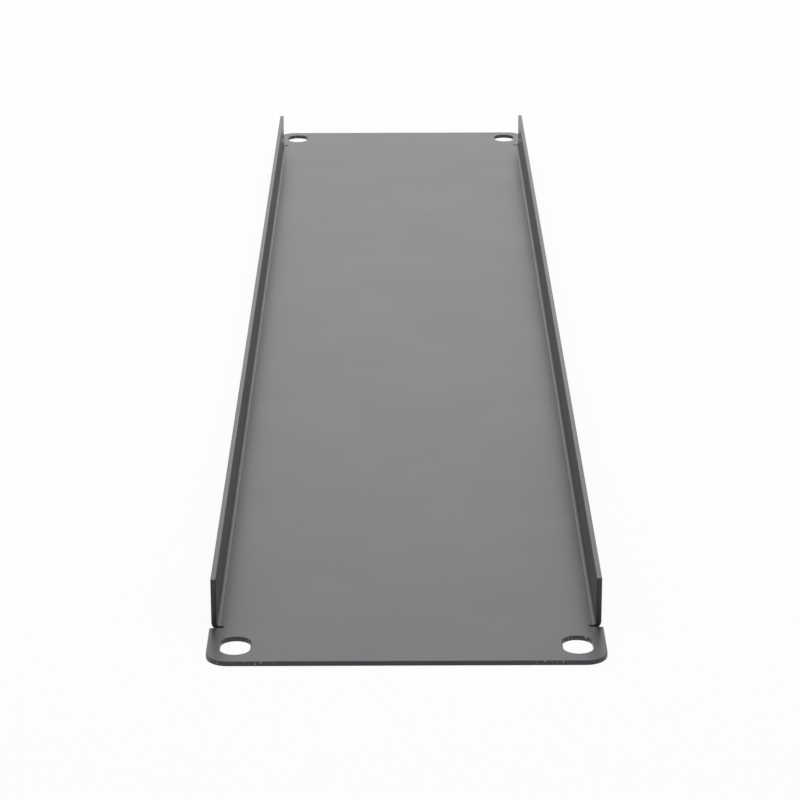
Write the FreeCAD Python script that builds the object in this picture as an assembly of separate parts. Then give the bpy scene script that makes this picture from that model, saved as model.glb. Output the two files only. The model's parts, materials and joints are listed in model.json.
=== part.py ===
import FreeCAD, Part
import math
import os

# Blanking panel for two units of a 19-inch rack: one sheet of steel with two
# return flanges along its long sides and a slotted ear at each end.
#
# It lies on its front face. X runs along the panel, across the rack. Y runs
# across the panel, up the rack. Z points from the front face to the back, the
# way the flanges stand. The origin is the centre of the front face. All sizes
# are in millimetres.

# Sheet
SHEET_THICKNESS = 1.2  # steel with its powder coat
EDGE_ROUND = 0.2  # every cut edge, deburred and coated
ROUND_LIMIT = 0.4  # most of a wall or slot that an edge's round may take

# Outline
PANEL_LENGTH = 482.6  # end to end, the width of the rack
EAR_WIDTH = 88.9  # two rack units of 44.45
EAR_LENGTH = 18.7  # panel's end to the relief slots
EAR_CORNER_RADIUS = 5.0  # the two outer corners of each ear

# Folds
FOLD_INSET = 0.4  # flange's outer face, inside the ear's side
FLANGE_HEIGHT = 12.5  # front face to the flange's free edge
BEND_RADIUS = 0.8  # inside the fold
RELIEF_WIDTH = 1.0  # slot between an ear and the end of a fold
RELIEF_PAST_BEND = 0.7  # how far that slot runs on into the flat web

# Mounting slots, one in each corner of the panel
SLOT_LENGTH = 9.8  # along X
SLOT_WIDTH = 6.8
SLOT_FROM_END = 8.75  # slot's centre to the panel's end
SLOT_FROM_SIDE = 6.35  # slot's centre to the ear's side

# Places that follow from the sizes above
END_X = PANEL_LENGTH / 2
EAR_X = END_X - EAR_LENGTH
FOLD_END_X = EAR_X - RELIEF_WIDTH
SIDE_Y = EAR_WIDTH / 2
FLANGE_Y = SIDE_Y - FOLD_INSET
OUTER_BEND_RADIUS = BEND_RADIUS + SHEET_THICKNESS
BEND_Y = FLANGE_Y - OUTER_BEND_RADIUS  # where the flat web starts to curve
ENDS = (-1, 1)
SIDES = (-1, 1)
SHARP_ANGLE = math.radians(30)


def point(x, y, z=0.0):
    return FreeCAD.Vector(x, y, z)


def ear():
    """The flat ear at the +X end, its two outer corners rounded in plan."""
    blank = Part.makeBox(EAR_LENGTH, EAR_WIDTH, SHEET_THICKNESS, point(EAR_X, -SIDE_Y))
    corners = [
        edge
        for edge in blank.Edges
        if edge.BoundBox.XMin > EAR_X + EAR_LENGTH / 2 and edge.BoundBox.YLength < SIDE_Y
        and edge.BoundBox.ZLength > SHEET_THICKNESS / 2
    ]
    return blank.makeFillet(EAR_CORNER_RADIUS, corners)


def fold():
    """The bend and flange on the +Y side, drawn in section and run along X."""

    def on_bend(radius, turn):
        """A point on the bend, turn degrees on from the web."""
        angle = math.radians(turn)
        return point(
            -FOLD_END_X,
            BEND_Y + radius * math.sin(angle),
            OUTER_BEND_RADIUS - radius * math.cos(angle),
        )

    def bend_arc(radius):
        return Part.Arc(*(on_bend(radius, turn) for turn in (0, 45, 90))).toShape()

    outer_top = point(-FOLD_END_X, FLANGE_Y, FLANGE_HEIGHT)
    inner_top = point(-FOLD_END_X, FLANGE_Y - SHEET_THICKNESS, FLANGE_HEIGHT)
    section = [
        bend_arc(OUTER_BEND_RADIUS),
        Part.makeLine(on_bend(OUTER_BEND_RADIUS, 90), outer_top),
        Part.makeLine(outer_top, inner_top),
        Part.makeLine(inner_top, on_bend(BEND_RADIUS, 90)),
        bend_arc(BEND_RADIUS),
        Part.makeLine(on_bend(BEND_RADIUS, 0), on_bend(OUTER_BEND_RADIUS, 0)),
    ]
    face = Part.Face(Part.Wire(Part.__sortEdges__(section)))
    return face.extrude(point(2 * FOLD_END_X, 0))


def mounting_slot():
    """Cutter for the slot in the +X +Y corner: round ends, straight sides along X."""
    radius = SLOT_WIDTH / 2
    reach = SLOT_LENGTH / 2 - radius
    centre = point(END_X - SLOT_FROM_END, SIDE_Y - SLOT_FROM_SIDE)
    middle = Part.makeBox(2 * reach, SLOT_WIDTH, SHEET_THICKNESS, centre - point(reach, radius))
    round_ends = [
        Part.makeCylinder(radius, SHEET_THICKNESS, centre + point(way * reach, 0))
        for way in ENDS
    ]
    return middle.multiFuse(round_ends)


def relief_end():
    """Cutter for the square inner end of the +X +Y relief slot, past the bend."""
    corner = point(FOLD_END_X, BEND_Y - RELIEF_PAST_BEND)
    return Part.makeBox(RELIEF_WIDTH, RELIEF_PAST_BEND, SHEET_THICKNESS, corner)


def mirrored(shape, end=1, side=1):
    """A copy of a shape made at +X +Y, at the end and side asked for."""
    if end < 0:
        shape = shape.mirror(point(0, 0), point(1, 0))
    if side < 0:
        shape = shape.mirror(point(0, 0), point(0, 1))
    return shape


def square_cut_sheet():
    """The folded sheet with its slots, before its edges are rounded."""
    web = Part.makeBox(2 * EAR_X, 2 * BEND_Y, SHEET_THICKNESS, point(-EAR_X, -BEND_Y))
    ears = [mirrored(ear(), end=end) for end in ENDS]
    folds = [mirrored(fold(), side=side) for side in SIDES]
    cutters = [
        mirrored(cutter, end, side)
        for cutter in (mounting_slot(), relief_end())
        for end in ENDS
        for side in SIDES
    ]
    return web.multiFuse(ears + folds).cut(cutters).removeSplitter().Solids[0]


def is_sharp(solid, edge):
    """True where the two faces beside an edge meet at a clear angle."""
    middle = edge.valueAt((edge.FirstParameter + edge.LastParameter) / 2)
    normals = [
        face.normalAt(*face.Surface.parameter(middle))
        for face in solid.ancestorsOfType(edge, Part.Face)
    ]
    return normals[0].getAngle(normals[1]) > SHARP_ANGLE


def rounded_sheet():
    """The sheet as finished, with the same small round on every cut edge."""
    sheet = square_cut_sheet()
    radius = min(EDGE_ROUND, ROUND_LIMIT * SHEET_THICKNESS, ROUND_LIMIT * RELIEF_WIDTH)
    cut_edges = [edge for edge in sheet.Edges if is_sharp(sheet, edge)]
    return sheet.makeFillet(radius, cut_edges).Solids[0]


panel = rounded_sheet()
print("panel: valid", panel.isValid(), "volume", round(panel.Volume, 1), "mm3")
os.makedirs("parts", exist_ok=True)
panel.exportStep("parts/panel.step")
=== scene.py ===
import json
from math import cos, radians, sin

import bpy
from mathutils import Matrix, Vector


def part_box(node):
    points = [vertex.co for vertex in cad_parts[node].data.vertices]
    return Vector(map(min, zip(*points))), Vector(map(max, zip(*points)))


# A black powder-coated blanking panel for a 19-inch rack, lying on its front face on
# a pale floor with its flanges up. The panel itself is the CAD node; this script gives
# it its coat, and sets the floor, the light and the camera. Lengths are in metres.

# Camera, from the middle of the panel's near end, which is its -X end
CAMERA_BACK = 0.5996
CAMERA_HEIGHT = 0.2681
CAMERA_ASIDE = 0.0022  # towards +Y
CAMERA_PITCH = radians(18.986)  # below the level
CAMERA_YAW = radians(0.084)  # towards -Y
CAMERA_ROLL = radians(-0.166)
CAMERA_LENS_MM = 133.99
CAMERA_SENSOR_MM = 36.0
CAMERA_CLIP_START = 0.01

# Studio
FLOOR_RADIUS = 12.0
FLOOR_CORNERS = 64
FLOOR_COLOUR = (0.96, 0.96, 0.96, 1.0)
FLOOR_WHITE_SHARE = 0.92  # how far the floor is washed out to the white of the backdrop
WHITE = (1.0, 1.0, 1.0, 1.0)
BACKDROP_WHITE = 1.0  # strength at which the backdrop is just white
SKY_FILL = 0.25  # light from all round that falls on the panel
TOP_LAMP_SIZE = (1.4, 1.4)
TOP_LAMP_PLACE = (0.2, 0.0, 1.5)  # from the panel's middle
TOP_LAMP_RADIANCE = 2.2
BACK_LAMP_SIZE = (0.7, 1.3)
BACK_LAMP_PLACE = (1.6, 0.0, 0.95)
BACK_LAMP_RADIANCE = 0.7
WATTS_PER_RADIANCE = 4.0  # for each square metre of an area lamp

# Powder coat
COAT_DARK = (0.0305, 0.03, 0.038, 1.0)
COAT_LIGHT = (0.0325, 0.032, 0.04, 1.0)
COAT_ROUGHNESS = (0.352, 0.368)
COAT_IOR = 1.48
CLOUD_WIDTH = 0.03  # broad unevenness of the coat's colour and gloss
CLOUD_DETAIL = 4.0  # finer layers in that noise
CLOUD_RANGE = (0.3, 0.7)  # noise values at which the coat is darkest and lightest
PEEL_WIDTH = 0.0022  # orange peel, where the powder flowed together
PEEL_DEPTH = 0.00002
GRAIN_WIDTH = 0.0003  # the powder's own grain
GRAIN_DEPTH = 0.000003
SPECK_WIDTH = 0.0006  # specks on the edges: partly coat worn thin on a cut edge, partly painted highlight
SPECK_RANGE = (0.64, 0.69)  # noise values over which a speck fades in
SPECK_PATCH_WIDTH = 0.024  # they come in patches
SPECK_PATCH_RANGE = (0.5, 0.62)  # noise values over which a patch fades in
# light grey of the edge specks: partly worn coat, partly painted highlight
WEAR_AND_GLINT_COLOUR = (0.34, 0.34, 0.34, 1.0)
EDGE_TURN = (0.12, 0.25)  # how far a surface turns from square before it counts as an edge
CUT_TURN = (0.3, 0.5)  # how far a surface low on the sheet turns from level, to be its cut edge
NOISE_DETAIL = 2.0  # finer layers in a noise, where nothing else is said
FINE_DETAIL = 1.0  # the same, in the grain and the specks


def add(tree, kind, inputs=None, **settings):
    """A new shader node with its settings, and its inputs set to values or linked to outputs."""
    node = tree.nodes.new(kind)
    for name, value in settings.items():
        setattr(node, name, value)
    for name, value in (inputs or {}).items():
        if isinstance(value, bpy.types.NodeSocket):
            tree.links.new(value, node.inputs[name])
        else:
            node.inputs[name].default_value = value
    return node


def emptied(owner):
    """The owner's node tree, with nothing in it."""
    owner.use_nodes = True
    owner.node_tree.nodes.clear()
    return owner.node_tree


def noise(tree, place, width, detail=NOISE_DETAIL):
    """Smooth noise from 0 to 1 whose features are about the given width."""
    inputs = {"Vector": place, "Scale": 1 / width, "Detail": detail}
    return add(tree, "ShaderNodeTexNoise", inputs).outputs["Fac"]


def ramp(tree, value, low, high, to_low=0.0, to_high=1.0):
    """The value's range low to high, mapped to the other range and held at its ends."""
    inputs = {"Value": value, 1: low, 2: high, 3: to_low, 4: to_high}
    return add(tree, "ShaderNodeMapRange", inputs, interpolation_type="SMOOTHSTEP").outputs[0]


def arithmetic(tree, operation, a, b):
    """The result of a Math node on the two values."""
    return add(tree, "ShaderNodeMath", {0: a, 1: b}, operation=operation).outputs[0]


def bump(tree, height, depth, **more):
    """The surface raised by up to the depth as the height goes from 0 to 1."""
    inputs = {"Height": height, "Distance": depth, **more}
    return add(tree, "ShaderNodeBump", inputs).outputs[0]


def mixed(tree, share, first, second):
    """The first colour, going over to the second as the share goes from 0 to 1."""
    inputs = {"Factor": share, "A": first, "B": second}
    node = add(tree, "ShaderNodeMix", data_type="RGBA")
    for name, value in inputs.items():
        socket = next(s for s in node.inputs if s.name == name and s.enabled)
        if isinstance(value, bpy.types.NodeSocket):
            tree.links.new(value, socket)
        else:
            socket.default_value = value
    return next(s for s in node.outputs if s.enabled)


def edge_mask(tree, place, thickness):
    """1 on the sheet's rounded edges, its bends and its low cut edges, and 0 on its flat faces."""
    normal = add(tree, "ShaderNodeNewGeometry").outputs["Normal"]
    parts = add(tree, "ShaderNodeSeparateXYZ", {0: normal}).outputs
    sizes = [arithmetic(tree, "ABSOLUTE", part, 0.0) for part in parts]
    largest = arithmetic(tree, "MAXIMUM", arithmetic(tree, "MAXIMUM", sizes[0], sizes[1]), sizes[2])
    rounded = ramp(tree, arithmetic(tree, "SUBTRACT", 1.0, largest), *EDGE_TURN)
    height = add(tree, "ShaderNodeSeparateXYZ", {0: place}).outputs["Z"]
    low = arithmetic(tree, "LESS_THAN", height, thickness)
    steep = ramp(tree, arithmetic(tree, "SUBTRACT", 1.0, sizes[2]), *CUT_TURN)
    return arithmetic(tree, "MAXIMUM", rounded, arithmetic(tree, "MULTIPLY", low, steep))


def powder_coat(thickness):
    """Black satin powder coat: uneven gloss, orange peel, a fine grain, and edges specked with wear and
    painted highlight.
    """
    material = bpy.data.materials.new("powder_coat")
    tree = emptied(material)
    place = add(tree, "ShaderNodeTexCoord").outputs["Object"]
    cloud = ramp(tree, noise(tree, place, CLOUD_WIDTH, CLOUD_DETAIL), *CLOUD_RANGE)
    specks = ramp(tree, noise(tree, place, SPECK_WIDTH, FINE_DETAIL), *SPECK_RANGE)
    patches = ramp(tree, noise(tree, place, SPECK_PATCH_WIDTH), *SPECK_PATCH_RANGE)
    wear_and_glint_edge = arithmetic(tree, "MULTIPLY", patches, edge_mask(tree, place, thickness))
    wear_and_glint_specks = arithmetic(tree, "MULTIPLY", specks, wear_and_glint_edge)
    # the edge specks are mixed in here: worn coat in part, painted highlight in part
    colour = mixed(tree, wear_and_glint_specks, mixed(tree, cloud, COAT_DARK, COAT_LIGHT), WEAR_AND_GLINT_COLOUR)
    peel = bump(tree, noise(tree, place, PEEL_WIDTH), PEEL_DEPTH)
    grain = bump(tree, noise(tree, place, GRAIN_WIDTH, FINE_DETAIL), GRAIN_DEPTH, Normal=peel)
    shader = add(
        tree,
        "ShaderNodeBsdfPrincipled",
        {
            "Base Color": colour,
            "Roughness": ramp(tree, cloud, 0.0, 1.0, *COAT_ROUGHNESS),
            "IOR": COAT_IOR,
            "Normal": grain,
        },
    )
    add(tree, "ShaderNodeOutputMaterial", {"Surface": shader.outputs[0]})
    return material


def seen_directly(tree):
    """1 for rays that show the backdrop: to the camera, mirrored or through glass."""
    path = add(tree, "ShaderNodeLightPath").outputs
    seen = arithmetic(tree, "MAXIMUM", path["Is Camera Ray"], path["Is Glossy Ray"])
    return arithmetic(tree, "MAXIMUM", seen, path["Is Transmission Ray"])


def lay_floor(height):
    """A pale round floor, washed out to the backdrop's white but for the panel's shadow."""
    bpy.ops.mesh.primitive_circle_add(
        vertices=FLOOR_CORNERS, radius=FLOOR_RADIUS, fill_type="NGON", location=(0, 0, height)
    )
    floor = bpy.context.object
    floor.name = "floor"
    material = bpy.data.materials.new("floor")
    tree = emptied(material)
    pale = add(tree, "ShaderNodeBsdfDiffuse", {"Color": FLOOR_COLOUR}).outputs[0]
    white = add(tree, "ShaderNodeEmission", {"Color": WHITE, "Strength": BACKDROP_WHITE}).outputs[0]
    share = arithmetic(tree, "MULTIPLY", seen_directly(tree), FLOOR_WHITE_SHARE)
    surface = add(tree, "ShaderNodeMixShader", {0: share, 1: pale, 2: white}).outputs[0]
    add(tree, "ShaderNodeOutputMaterial", {"Surface": surface})
    floor.data.materials.append(material)


def light_sky():
    """A backdrop all round, white where it is seen or mirrored, and dimmer as a light."""
    world = bpy.data.worlds.new("studio")
    tree = emptied(world)
    strength = ramp(tree, seen_directly(tree), 0.0, 1.0, SKY_FILL, BACKDROP_WHITE)
    sky = add(tree, "ShaderNodeBackground", {"Color": WHITE, "Strength": strength})
    add(tree, "ShaderNodeOutputWorld", {"Surface": sky.outputs[0]})
    bpy.context.scene.world = world


def hang_softbox(name, middle, offset, size, radiance):
    """A flat soft lamp, offset from the panel's middle and turned to face it."""
    light = bpy.data.lights.new(name, "AREA")
    light.shape = "RECTANGLE"
    light.size, light.size_y = size
    light.energy = WATTS_PER_RADIANCE * radiance * size[0] * size[1]
    lamp = bpy.data.objects.new(name, light)
    lamp.location = middle + Vector(offset)
    lamp.rotation_euler = Vector(offset).to_track_quat("Z", "Y").to_euler()
    lamp.visible_camera = False
    bpy.context.collection.objects.link(lamp)


def set_camera(near_end):
    """A long lens that looks along the panel from beyond its near end, and down on it."""
    forward = Vector(
        (cos(CAMERA_YAW) * cos(CAMERA_PITCH), -sin(CAMERA_YAW) * cos(CAMERA_PITCH), -sin(CAMERA_PITCH))
    )
    level = Vector((-sin(CAMERA_YAW), -cos(CAMERA_YAW), 0))
    upright = level.cross(forward)
    right = level * cos(CAMERA_ROLL) + upright * sin(CAMERA_ROLL)
    up = upright * cos(CAMERA_ROLL) - level * sin(CAMERA_ROLL)
    lens = bpy.data.cameras.new("camera")
    lens.sensor_width = CAMERA_SENSOR_MM
    lens.lens = CAMERA_LENS_MM
    lens.clip_start = CAMERA_CLIP_START
    lens.clip_end = 4 * FLOOR_RADIUS
    camera = bpy.data.objects.new("camera", lens)
    place = near_end + Vector((-CAMERA_BACK, CAMERA_ASIDE, CAMERA_HEIGHT))
    camera.matrix_world = Matrix.Translation(place) @ Matrix((right, up, -forward)).transposed().to_4x4()
    bpy.context.collection.objects.link(camera)
    bpy.context.scene.camera = camera


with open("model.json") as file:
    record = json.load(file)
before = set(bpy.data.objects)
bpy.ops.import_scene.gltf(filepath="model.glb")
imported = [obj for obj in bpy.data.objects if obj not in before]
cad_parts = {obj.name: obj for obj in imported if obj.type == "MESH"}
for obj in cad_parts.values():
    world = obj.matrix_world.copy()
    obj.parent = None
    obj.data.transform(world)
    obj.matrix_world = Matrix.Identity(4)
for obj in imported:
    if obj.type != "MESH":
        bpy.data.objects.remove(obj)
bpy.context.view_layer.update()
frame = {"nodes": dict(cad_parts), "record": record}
low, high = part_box("panel")

rail_seat = next(m for m in frame["record"]["mounts"] if m["name"] == "rail_seat")
sheet_thickness = rail_seat["pos_m"][2]  # the mount lies on the back of the sheet

coat = powder_coat(sheet_thickness)
for slot in frame["nodes"]["panel"].material_slots:
    slot.material = coat

lay_floor(low.z)
light_sky()
middle = (low + high) / 2
hang_softbox("top_softbox", middle, TOP_LAMP_PLACE, TOP_LAMP_SIZE, TOP_LAMP_RADIANCE)
hang_softbox("back_softbox", middle, BACK_LAMP_PLACE, BACK_LAMP_SIZE, BACK_LAMP_RADIANCE)
set_camera(Vector((low.x, (low.y + high.y) / 2, low.z)))
bpy.context.scene.view_settings.view_transform = "Standard"
